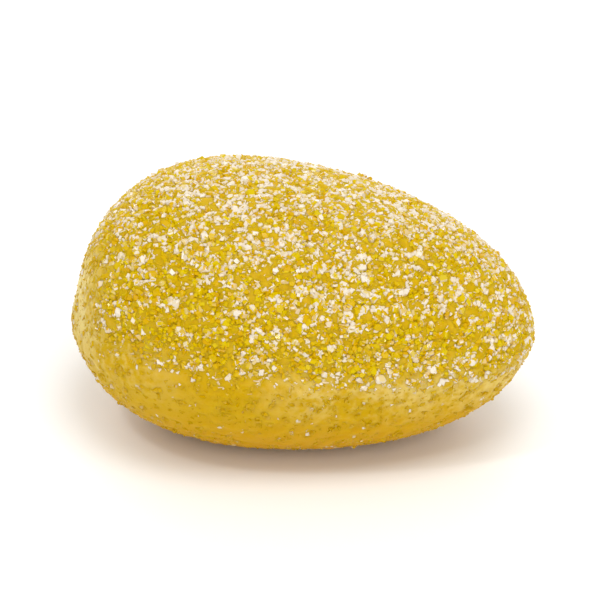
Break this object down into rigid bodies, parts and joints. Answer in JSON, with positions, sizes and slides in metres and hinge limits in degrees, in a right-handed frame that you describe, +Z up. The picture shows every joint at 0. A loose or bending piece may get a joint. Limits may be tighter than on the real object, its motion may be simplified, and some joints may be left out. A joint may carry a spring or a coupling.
{
  "type": "jelly egg",
  "caption": "Sugar-coated yellow jelly egg: an egg-shaped moulded jelly sweet with a domed side, a soft rim and a flatter back to lie on.",
  "frame": {"origin": "on the surface that the egg lies on, under the middle of its length and width", "axes": "+X from the broad end to the narrow end, +Z up from the flat spot on the back through the dome"},
  "size_m": [0.0301, 0.0207, 0.0176],
  "materials": {
    "sugared_yellow_jelly": "translucent lemon-yellow fruit jelly, satin under its sugar",
    "granulated_sugar": "clear to frosted white crystals of 0.1 to 0.5 mm with glinting faces, some stuck together in clumps of 0.8 mm"
  },
  "bodies": {
    "root": {"jelly_egg": "sugared_yellow_jelly"}
  },
  "joints": []
}
